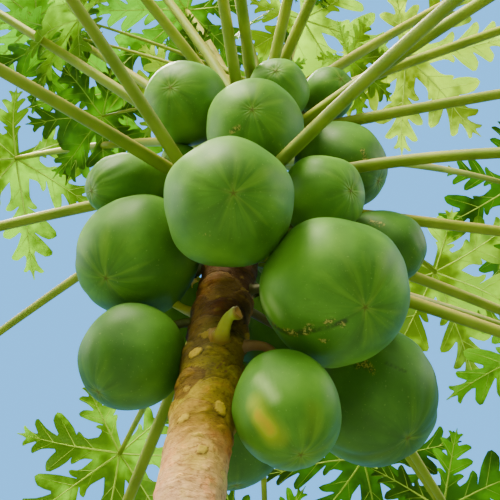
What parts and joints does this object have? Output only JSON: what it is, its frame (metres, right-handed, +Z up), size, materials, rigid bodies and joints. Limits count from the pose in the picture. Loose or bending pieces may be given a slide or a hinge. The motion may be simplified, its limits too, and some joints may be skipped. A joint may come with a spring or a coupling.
{
  "type": "papaya tree",
  "caption": "Young fruiting papaya tree: one slim leaning trunk, a cluster of green fruits round its top and a crown of long-stalked palmate leaves.",
  "frame": {"origin": "middle of the flat cut under the trunk, at ground level", "axes": "+Z up; the trunk leans towards +X; the picture looks along +Y and 48 degrees up"},
  "size_m": [2.0623, 2.0692, 3.6087],
  "materials": {
    "bark": "tan, scarred and dull",
    "fruit_skin": "smooth green skin with a soft sheen",
    "leaf": "thin green blade, dull above and paler below",
    "green_stalk": "smooth yellow-green stalk"
  },
  "bodies": {
    "root": {"trunk": "bark", "fruit_01": "fruit_skin", "fruit_02": "fruit_skin", "fruit_03": "fruit_skin", "fruit_04": "fruit_skin", "fruit_05": "fruit_skin", "fruit_06": "fruit_skin", "fruit_07": "fruit_skin", "fruit_08": "fruit_skin", "fruit_09": "fruit_skin", "fruit_10": "fruit_skin", "fruit_11": "fruit_skin", "fruit_12": "fruit_skin", "fruit_13": "fruit_skin", "fruit_14": "fruit_skin", "fruit_15": "fruit_skin", "fruit_16": "fruit_skin", "fruit_17": "fruit_skin", "fruit_18": "fruit_skin", "fruit_19": "fruit_skin", "fruit_20": "fruit_skin", "fruit_21": "fruit_skin", "leaf_01": "leaf", "leaf_02": "leaf", "leaf_03": "leaf", "leaf_04": "leaf", "leaf_05": "leaf", "leaf_06": "leaf", "leaf_07": "leaf", "leaf_08": "leaf", "leaf_09": "leaf", "leaf_10": "leaf", "leaf_11": "leaf", "leaf_12": "leaf", "leaf_13": "leaf", "leaf_14": "leaf", "leaf_15": "leaf", "leaf_16": "leaf", "leaf_17": "leaf", "leaf_18": "leaf", "leaf_19": "leaf", "leaf_20": "leaf", "leaf_21": "leaf", "leaf_22": "leaf", "leaf_23": "leaf", "leaf_24": "leaf", "leaf_25": "leaf", "leaf_26": "leaf", "leaf_27": "leaf", "leaf_28": "leaf", "leaf_29": "leaf", "leaf_30": "leaf", "leaf_31": "leaf", "leaf_32": "leaf", "leaf_33": "leaf", "leaf_34": "leaf", "leaf_35": "leaf", "leaf_36": "leaf", "stub_01": "green_stalk", "stub_02": "green_stalk"}
  },
  "joints": []
}
